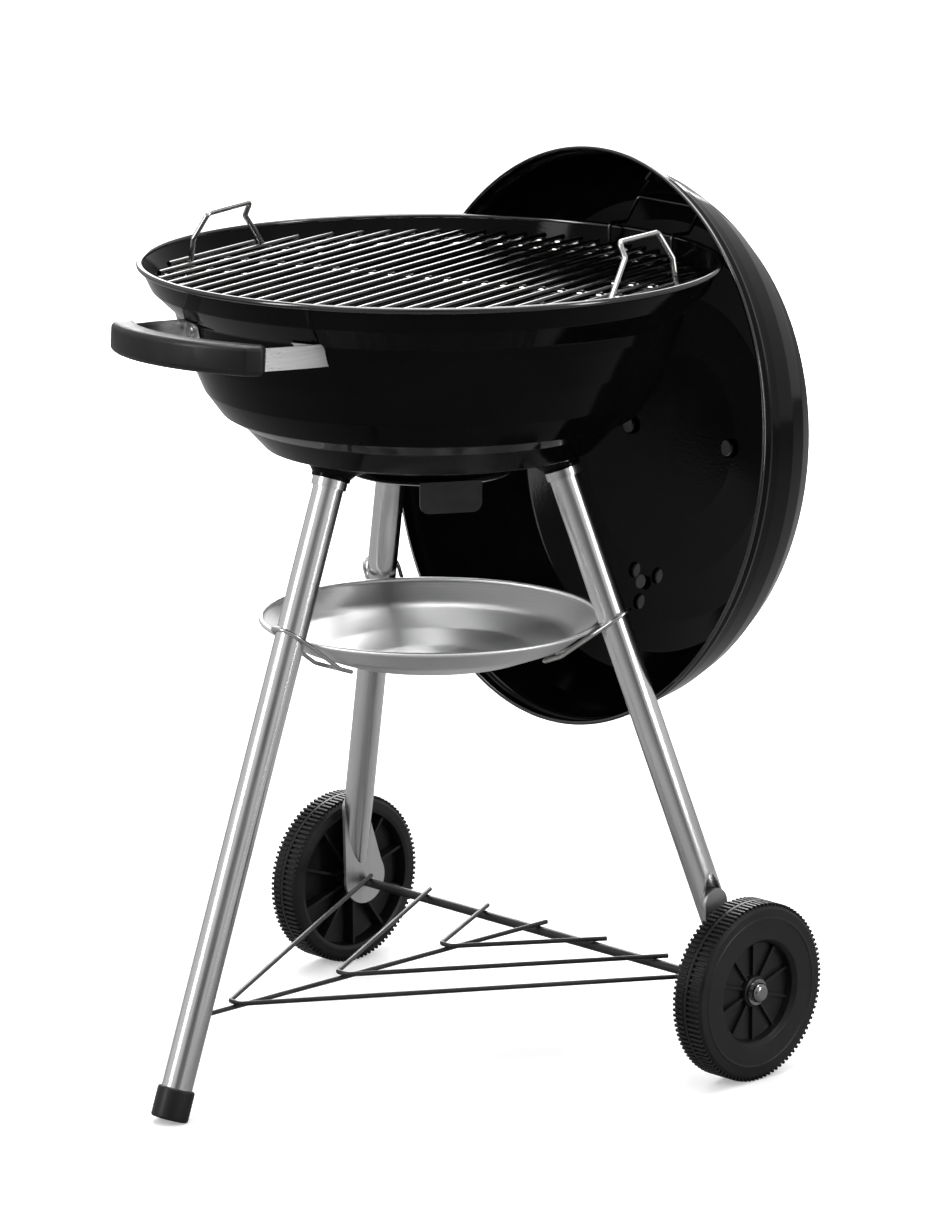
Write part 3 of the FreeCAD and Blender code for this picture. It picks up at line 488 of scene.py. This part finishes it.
SMOOTHING = smoothing_group()
FOLDED = (
    "damper_tab", "bowl_damper", "lid_damper", "lid_heat_shield", "axle_plate_left", "axle_plate_right",
    "bowl_handle_strap_left", "bowl_handle_strap_right",
)
SPECIAL = {  # materials that differ from the record's slot
    "leg_front": "leg_front",
    "leg_right": "leg_right",
    "leg_left": "leg_left",
    "leg_collars": "collar",
    # painted shade: the rods get the darkened copy of the plated wire
    "cooking_grate_rods": "grate_rods",
    # painted highlight: the cross wire and both rings get the brightened copy of the plated wire
    "cooking_grate_cross_wire": "grate_cross",
    "cooking_grate_ring": "grate_cross",
    "cooking_grate_inner_ring": "grate_cross",
    # painted shade: the lid hook also gets the darkened copy of the plated wire
    "lid_hook": "grate_rods",
    "lid_damper": "dark_hardware",
    "axle_cap_nuts": "nut_steel",
}
for part in frame["record"]["subparts"]:
    node = NODES[part["node"]]
    paint(node, SPECIAL.get(part["node"], part.get("material_slot")))
    node.modifiers.new("smooth", "NODES").node_group = SMOOTHING
    if part["node"] in FOLDED:
        eased = node.modifiers.new("eased_edges", "BEVEL")
        eased.width = EASED_EDGE
        eased.segments = 3
        eased.limit_method = "ANGLE"


def stands_for(obj, node, material):
    """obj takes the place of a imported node, on the same body and with the same finish."""
    paint(obj, material)
    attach(obj, NODES[node]["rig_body"])
    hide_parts(node)
    return obj


# ------------------------------------------------------------------ bowl
BOWL = [(0.0, 0.497), (0.060, 0.497), (0.066, 0.5055), (0.105, 0.5115), (0.137, 0.519), (0.155, 0.5385),
        (0.172, 0.548), (0.186, 0.567), (0.1975, 0.594), (0.207, 0.622), (0.2095, 0.6325), (0.2285, 0.6505),
        (0.2375, 0.6695)]
LIP_WIRE = 0.0025
BOWL_CORNER = 0.005
BOWL_VENTS = 4
BOWL_VENT_CIRCLE = 0.036
BOWL_VENT_RADIUS = 0.013
BOWL_VENT_LOW = 0.49
BOWL_VENT_LONG = 0.02


def bowl():
    """Kettle bottom turned from its outline, with the vents cut through its floor, and the rolled lip."""
    outside = rounded(BOWL, BOWL_CORNER)
    inside = offset(outside, SHEET)
    inside[0].x = 0.0
    shell = outside + inside[::-1]
    bead = ring_section(RIM_RADIUS - LIP_WIRE, RIM_TOP - LIP_WIRE, LIP_WIRE)
    obj = make("bowl_shell", lathe([shell]), BOWL_AXIS)
    cutters = []
    for i in range(BOWL_VENTS):
        angle = math.radians(15 + 360 / BOWL_VENTS * i)
        x = BOWL_VENT_CIRCLE * math.cos(angle)
        y = BOWL_VENT_CIRCLE * math.sin(angle)
        foot = BOWL_AXIS @ Vector((x, y, BOWL_VENT_LOW))
        cutters.append(rod_mesh(foot, foot + UP * BOWL_VENT_LONG, BOWL_VENT_RADIUS, 48))
    cut(obj, cutters)
    stands_for(obj, "bowl", "enamel_black")
    lip = make("bowl_lip", lathe([bead]), BOWL_AXIS)
    paint(lip, "lip_enamel")
    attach(lip, NODES["bowl"]["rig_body"])


# ------------------------------------------------------------------ lid
LID = [(0.0, 0.123), (0.070, 0.1205), (0.120, 0.116), (0.158, 0.109), (0.184, 0.099), (0.204, 0.084),
       (0.218, 0.065), (0.228, 0.045), (0.235, 0.024), (0.238, 0.013), (0.2413, 0.010), (0.242, 0.0015)]
LID_CORNER = 0.014
LID_TURN = 6.36  # degrees about the upright axis
LID_LEAN = 7.1  # degrees, the dome's axis below level
LID_BEHIND = 0.150
LID_HEIGHT = 0.506
RIM_BEAD_RADIUS = 0.2413
RIM_BEAD_WIRE = 0.0017
LID_VENT = (0.020, -0.130)
LID_VENT_HOLES = 3
LID_VENT_CIRCLE = 0.017
LID_VENT_RADIUS = 0.007
LID_VENT_REACH = 0.01


def lid_place():
    """The lid's own frame as it hangs: origin in the rim's plane, X level, Z out through the dome."""
    turn = math.radians(LID_TURN)
    lean = math.radians(LID_LEAN)
    z = Vector((math.sin(turn) * math.cos(lean), math.cos(turn) * math.cos(lean), -math.sin(lean)))
    x = Vector((-math.cos(turn), math.sin(turn), 0))
    matrix = Matrix((x, z.cross(x), z)).transposed().to_4x4()
    matrix.translation = Vector((math.sin(turn) * LID_BEHIND, math.cos(turn) * LID_BEHIND, LID_HEIGHT))
    return BOWL_AXIS @ matrix


LID_PLACE = lid_place()


def lid_outside(radius):
    """Height of the dome's outside at a radius, along the straight lines of its outline."""
    for (r0, z0), (r1, z1) in zip(LID, LID[1:]):
        if r0 <= radius <= r1:
            return z0 + (z1 - z0) * (radius - r0) / (r1 - r0)
    return 0.0


def vent_place():
    """Frame of the lid's vent: on the dome's outside, Z straight out of it."""
    x, y = LID_VENT
    radius = math.hypot(x, y)
    slope = (lid_outside(radius - 0.01) - lid_outside(radius + 0.01)) / 0.02
    outward = Vector((x / radius * slope, y / radius * slope, 1)).normalized()
    turn = UP.rotation_difference(outward).to_matrix().to_4x4()
    return LID_PLACE @ Matrix.Translation(Vector((x, y, lid_outside(radius)))) @ turn


def lid():
    """Dome turned from its outline, with the vent's holes cut through, and the bead round its rim."""
    outside = rounded(LID, LID_CORNER)
    inside = offset(outside, -SHEET)
    inside[0].x = 0.0
    obj = make("lid_shell", lathe([outside + inside[::-1]]), LID_PLACE)
    at = vent_place()
    cutters = []
    for i in range(LID_VENT_HOLES):
        angle = math.radians(30 + 360 / LID_VENT_HOLES * i)
        x = LID_VENT_CIRCLE * math.cos(angle)
        y = LID_VENT_CIRCLE * math.sin(angle)
        low = at @ Vector((x, y, -LID_VENT_REACH))
        high = at @ Vector((x, y, LID_VENT_REACH))
        cutters.append(rod_mesh(low, high, LID_VENT_RADIUS, 40))
    cut(obj, cutters)
    stands_for(obj, "lid", "enamel_black")
    bead = ring_section(RIM_BEAD_RADIUS, RIM_BEAD_WIRE, RIM_BEAD_WIRE)
    rim = make("lid_rim_bead", lathe([bead]), LID_PLACE)
    paint(rim, "lip_enamel")
    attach(rim, NODES["lid"]["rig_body"])


# ------------------------------------------------------------------ ash pan
PAN = [(0.0, 0.334), (0.050, 0.334), (0.085, 0.3415), (0.118, 0.354), (0.1388, 0.3695), (0.141, 0.3715)]
PAN_SHEET = 0.0012
PAN_CORNER = 0.040
PAN_WIRE = 0.0022


def ash_pan():
    """Shallow dish turned from its outline, with a rolled edge."""
    outside = rounded(PAN, PAN_CORNER, 12)
    inside = offset(outside, PAN_SHEET)
    inside[0].x = 0.0
    low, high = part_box("ash_pan")
    bead = ring_section((high.x - low.x) / 2 - PAN_WIRE, high.z - PAN_WIRE, PAN_WIRE)
    obj = make("ash_pan_dish", lathe([outside + inside[::-1], bead]), BOWL_AXIS)
    stands_for(obj, "ash_pan", "pan_aluminium")


# ------------------------------------------------------------------ wheels
WHEEL_INNER_X = 0.2281  # where the inner wall of each wheel stands
WHEEL_WIDTH = 0.0317
WHEEL_STEPS = 180
GROOVE = 0.0024  # depth of the grooves between the tread bars
SUNK = 0.0008  # how far bars, band and ribs reach into the body they stand on
SKIN = 0.0001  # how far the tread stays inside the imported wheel
EDGE = 0.0004
TREAD_BARS = 100
BAR_SHARE = 0.52  # part of the pitch that a bar fills
BAR_START = 0.0026  # from the wall to the ends of the bars
BAND_HALF = 0.0016
BAND_GAP = 0.0006
WEB_RADIUS = 0.042
WEB_RIBS = 10
RIB_HALF = 0.0012
BORE = 0.00405


def wheel_outline(tread):
    """Section of a wheel's body as (radius, distance from its inner wall), without bars and ribs."""
    wide = WHEEL_WIDTH
    return [
        (BORE, -0.0076), (0.011, -0.0076), (0.011, 0.014), (0.060, 0.014), (0.0605, 0.001), (0.064, 0.0),
        (0.0705, 0.0004), (tread - 0.0005, 0.0026), (tread, 0.0036), (tread, wide - 0.0036),
        (tread - 0.0005, wide - 0.0026), (0.0705, wide - 0.0006), (0.0640, wide - 0.0004),
        (0.0633, wide), (0.0619, wide), (0.0612, wide - 0.0006), (WEB_RADIUS + 0.003, wide - 0.0008),
        (WEB_RADIUS, wide - 0.0045), (WEB_RADIUS - 0.0006, 0.020), (0.0140, 0.020), (0.0130, wide - 0.0065),
        (0.0105, wide - 0.0055), (BORE, wide - 0.0055),
    ]


def tread_bars(radius, tread):
    """The two rows of tread bars, one at each side of the band."""
    bars = []
    half = math.pi * radius / TREAD_BARS * BAR_SHARE
    beside = BAND_HALF + BAND_GAP
    rows = ((BAR_START, WHEEL_WIDTH / 2 - beside), (WHEEL_WIDTH / 2 + beside, WHEEL_WIDTH - BAR_START))
    for i in range(TREAD_BARS):
        turn = Matrix.Rotation(2 * math.pi * i / TREAD_BARS, 4, "Z")
        for start, end in rows:
            bar = box_mesh((tread - SUNK, -half, start), (radius - SKIN, half, end), EDGE)
            bars.append(placed(bar, turn))
    return bars


def web_ribs():
    """Ribs between hub and rim, on the outer and on the inner face of the web."""
    ribs = []
    outer = box_mesh((0.0128, -RIB_HALF, 0.0195), (WEB_RADIUS + SUNK, RIB_HALF, WHEEL_WIDTH - 0.0085), EDGE)
    inner = box_mesh((0.0108, -RIB_HALF, 0.0035), (0.0604, RIB_HALF, 0.0145), EDGE)
    for i in range(WEB_RIBS):
        turn = Matrix.Rotation(2 * math.pi * i / WEB_RIBS, 4, "Z")
        ribs.append(placed(outer, turn))
        ribs.append(placed(inner, turn))
    return ribs


def ring_band(inner, outer, low, high):
    """Flat band turned about Z, with its outer edges chamfered."""
    section = [Vector((inner, low)), Vector((outer - EDGE, low)), Vector((outer, low + EDGE)),
               Vector((outer, high - EDGE)), Vector((outer - EDGE, high)), Vector((inner, high))]
    return lathe([section], WHEEL_STEPS)


def wheel(side):
    """Moulded wheel: a ribbed tread with a smooth band round its middle, plain walls, a ribbed hub web."""
    node = "wheel_right" if side > 0 else "wheel_left"
    centre = JOINTS[node + "_spin"]["pos_m"]
    low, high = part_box(node)
    radius = (high.z - low.z) / 2
    tread = radius - GROOVE
    axle = Vector((side * WHEEL_INNER_X, centre[1], centre[2]))
    turn = UP.rotation_difference(Vector((side, 0, 0))).to_matrix().to_4x4()
    line = rounded([Vector(p) for p in wheel_outline(tread)], 0.0007, 3)
    band = ring_band(tread - SUNK, radius - SKIN, WHEEL_WIDTH / 2 - BAND_HALF, WHEEL_WIDTH / 2 + BAND_HALF)
    pieces = [lathe([line], WHEEL_STEPS), *tread_bars(radius, tread), band, *web_ribs()]
    obj = make(node + "_moulding", join(*pieces), Matrix.Translation(axle) @ turn, 28.0)
    stands_for(obj, node, "wheel_plastic")


bowl()
lid()
ash_pan()
wheel(1)
wheel(-1)


# ------------------------------------------------------------------ floor, light and camera
WHITE = (1.0, 1.0, 1.0)
FLOOR_HALF = 14.0
FLOOR_TO_SURFACES = 0.26  # share of its colour that the floor shows to anything but the camera
ROOM_LIGHT = 0.62
DARK_LIGHT = 0.10  # behind the camera
TO_CAMERA = (0.716, -0.698, 0.0)  # level direction from the grill to the camera


def floor():
    """Pale floor. The camera also sees it glow more with distance; other rays get a darker, unlit one."""
    size = FLOOR_HALF
    verts = [(-size, -size, 0), (size, -size, 0), (size, size, 0), (-size, size, 0)]
    data = bpy.data.meshes.new("studio_floor")
    data.from_pydata(verts, [], [(0, 1, 2, 3)])
    obj = bpy.data.objects.new("studio_floor", data)
    bpy.context.scene.collection.objects.link(obj)
    material, tree, shader = new_material("studio_floor", (0.86, 0.86, 0.86), 0.0, 0.9, 0.1)
    cloud = noise(tree, coordinates(tree), 3.0, 2.0)
    path = tree.nodes.new("ShaderNodeLightPath")
    pale = tree.nodes.new("ShaderNodeMath")
    pale.operation = "MULTIPLY"
    tree.links.new(ranged(tree, cloud, 0.85, 0.88), pale.inputs[0])
    share = ranged(tree, path.outputs["Is Camera Ray"], FLOOR_TO_SURFACES, 1.0, 0.0, 1.0)
    tree.links.new(share, pale.inputs[1])
    tree.links.new(pale.outputs["Value"], shader.inputs["Base Color"])
    shader.inputs["Emission Color"].default_value = (*WHITE, 1.0)
    away = tree.nodes.new("ShaderNodeVectorMath")
    away.operation = "LENGTH"
    tree.links.new(coordinates(tree), away.inputs[0])
    glow = ranged(tree, away.outputs["Value"], 0.30, 1.0, 0.5, 2.2)
    seen = tree.nodes.new("ShaderNodeMath")
    seen.operation = "MULTIPLY"
    tree.links.new(glow, seen.inputs[0])
    tree.links.new(path.outputs["Is Camera Ray"], seen.inputs[1])
    tree.links.new(seen.outputs["Value"], shader.inputs["Emission Strength"])
    data.materials.append(material)


def world():
    """White for the camera; for the surfaces a pale room with a dark sector behind the camera."""
    scene_world = bpy.data.worlds.new("studio")
    bpy.context.scene.world = scene_world
    scene_world.use_nodes = True
    tree = scene_world.node_tree
    tree.nodes.clear()
    out = tree.nodes.new("ShaderNodeOutputWorld")
    seen = tree.nodes.new("ShaderNodeBackground")
    seen.inputs["Color"].default_value = (*WHITE, 1.0)
    seen.inputs["Strength"].default_value = 1.0
    lit = tree.nodes.new("ShaderNodeBackground")
    lit.inputs["Color"].default_value = (*WHITE, 1.0)
    toward = tree.nodes.new("ShaderNodeVectorMath")
    toward.operation = "DOT_PRODUCT"
    toward.inputs[1].default_value = TO_CAMERA
    tree.links.new(tree.nodes.new("ShaderNodeTexCoord").outputs["Generated"], toward.inputs[0])
    room = ranged(tree, toward.outputs["Value"], ROOM_LIGHT, DARK_LIGHT, 0.86, 0.97)
    tree.links.new(room, lit.inputs["Strength"])
    path = tree.nodes.new("ShaderNodeLightPath")
    mix = tree.nodes.new("ShaderNodeMixShader")
    tree.links.new(path.outputs["Is Camera Ray"], mix.inputs[0])
    tree.links.new(lit.outputs[0], mix.inputs[1])
    tree.links.new(seen.outputs[0], mix.inputs[2])
    tree.links.new(mix.outputs[0], out.inputs["Surface"])


def softbox(name, place, target, wide, tall, power):
    """Rectangular light at place, facing target."""
    data = bpy.data.lights.new(name, "AREA")
    data.shape = "RECTANGLE"
    data.size = wide
    data.size_y = tall
    data.energy = power
    obj = bpy.data.objects.new(name, data)
    obj.location = place
    obj.rotation_euler = (Vector(target) - Vector(place)).to_track_quat("-Z", "Y").to_euler()
    bpy.context.scene.collection.objects.link(obj)


CAMERA_PLACE = (3.29471, -3.18248, 1.42339)
CAMERA_HEADING = 45.745  # degrees west of +Y
CAMERA_PITCH = 12.876  # degrees downwards
CAMERA_LENS = 167.55


def camera():
    """Camera at the place and angle from which the grill is meant to be seen."""
    heading = math.radians(CAMERA_HEADING)
    pitch = math.radians(CAMERA_PITCH)
    level = math.cos(pitch)
    ahead = Vector((-math.sin(heading) * level, math.cos(heading) * level, -math.sin(pitch)))
    data = bpy.data.cameras.new("camera")
    data.lens = CAMERA_LENS
    data.sensor_width = 36.0
    data.clip_end = 60.0
    obj = bpy.data.objects.new("camera", data)
    obj.location = CAMERA_PLACE
    obj.rotation_euler = ahead.to_track_quat("-Z", "Y").to_euler()
    bpy.context.scene.collection.objects.link(obj)
    bpy.context.scene.camera = obj


floor()
world()
softbox("key", (-0.9, -3.3, 2.0), (0, 0, 0.45), 0.7, 2.4, 50.0)
softbox("side", (3.4, 1.1, 1.4), (0, 0, 0.4), 0.6, 2.4, 40.0)
softbox("top", (-0.2, 0.3, 3.4), (0, 0, 0.3), 2.4, 2.4, 120.0)
softbox("backdrop", (-2.6, 2.3, 1.9), (0, 0, 0.4), 2.4, 2.0, 100.0)
camera()
bpy.context.scene.view_settings.view_transform = "Standard"
